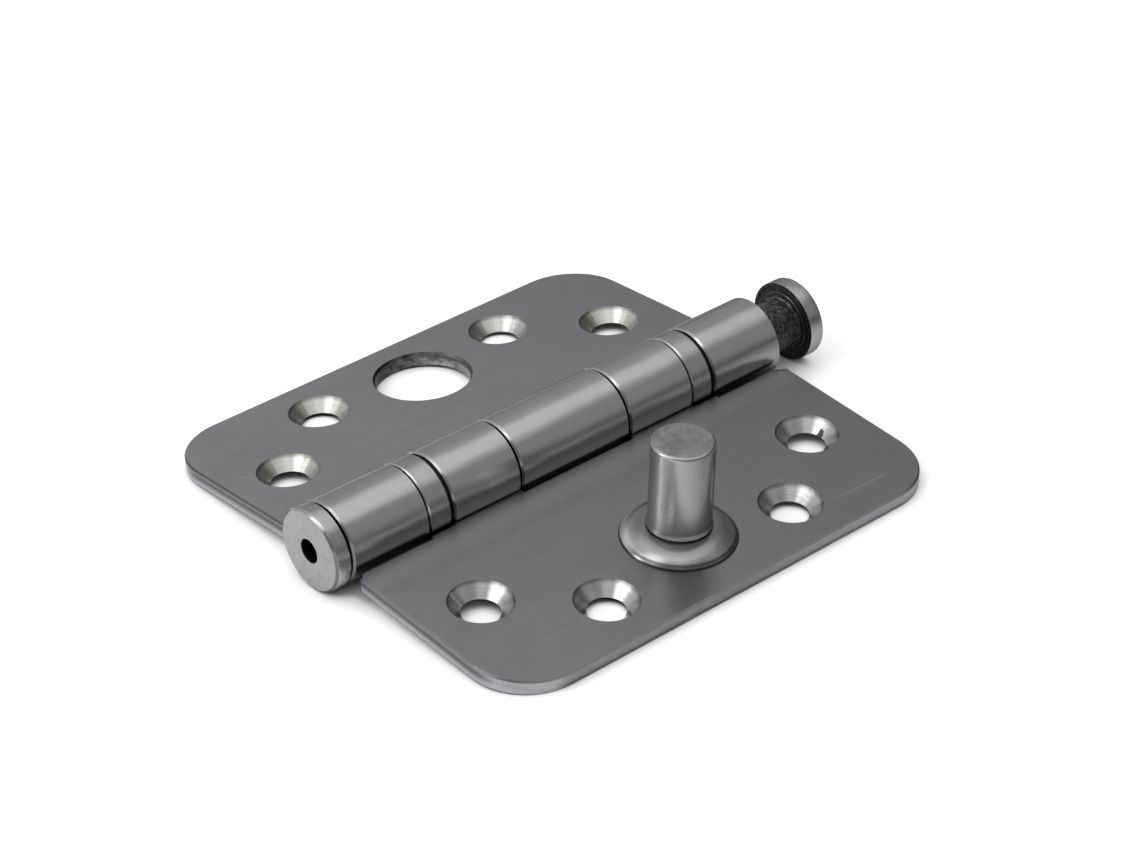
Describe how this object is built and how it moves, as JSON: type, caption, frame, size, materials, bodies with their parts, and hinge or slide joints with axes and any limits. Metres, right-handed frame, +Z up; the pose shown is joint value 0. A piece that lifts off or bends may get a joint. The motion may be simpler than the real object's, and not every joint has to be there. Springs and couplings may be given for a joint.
{
  "type": "ball bearing butt hinge",
  "caption": "Steel butt hinge with rolled knuckles, thrust ball bearings, countersunk screw holes, a security stud and a pin partly drawn out.",
  "frame": {"origin": "middle of the barrel on the pin axis", "axes": "+Y along the pin axis towards the pin's head, +Z up from the surface the hinge lies on, +X towards the door leaf"},
  "size_m": [0.0902, 0.1022, 0.0215],
  "materials": {
    "leaf_steel": "brushed satin steel, darker on the leaves",
    "stud_steel": "turned steel",
    "washer_steel": "pressed satin steel",
    "pin_steel": "turned steel head over a dark oiled shank",
    "cap_steel": "turned steel",
    "bearing_steel": "brushed steel shroud",
    "race_steel": "ground hardened steel",
    "ball_steel": "polished hardened steel",
    "cage_brass": "pressed brass"
  },
  "bodies": {
    "frame_side": {"frame_leaf": "leaf_steel", "end_cap": "cap_steel", "near_bearing_shell": "bearing_steel", "near_seated_race": "race_steel", "far_running_race": "race_steel"},
    "door_side": {"door_leaf": "leaf_steel", "security_stud": "stud_steel", "stud_washer": "washer_steel", "far_bearing_shell": "bearing_steel", "far_seated_race": "race_steel", "near_running_race": "race_steel"},
    "pin": {"hinge_pin": "pin_steel"},
    "near_balls": {"near_ball_cage": "cage_brass", "near_ball_01": "ball_steel", "near_ball_02": "ball_steel", "near_ball_03": "ball_steel", "near_ball_04": "ball_steel", "near_ball_05": "ball_steel", "near_ball_06": "ball_steel"},
    "far_balls": {"far_ball_cage": "cage_brass", "far_ball_01": "ball_steel", "far_ball_02": "ball_steel", "far_ball_03": "ball_steel", "far_ball_04": "ball_steel", "far_ball_05": "ball_steel", "far_ball_06": "ball_steel"}
  },
  "joints": [
    {"name": "leaf_swing", "type": "hinge", "parent": "frame_side", "child": "door_side", "pos_m": [0, 0, 0], "axis": [0, -1, 0], "range_deg": [-92.38, 187.62]},
    {"name": "near_balls_roll", "type": "hinge", "parent": "frame_side", "child": "near_balls", "pos_m": [0, 0, 0], "axis": [0, -1, 0], "range_deg": [-46.69, 94.31]},
    {"name": "far_balls_roll", "type": "hinge", "parent": "frame_side", "child": "far_balls", "pos_m": [0, 0, 0], "axis": [0, -1, 0], "range_deg": [-46.69, 94.31]},
    {"name": "pin_slide", "type": "slide", "parent": "frame_side", "child": "pin", "axis": [0, 1, 0], "range_m": [-0.0068, 0.07]}
  ],
  "couplings": [
    {"joint": "near_balls_roll", "follows": "leaf_swing", "ratio": 0.5},
    {"joint": "far_balls_roll", "follows": "leaf_swing", "ratio": 0.5}
  ]
}
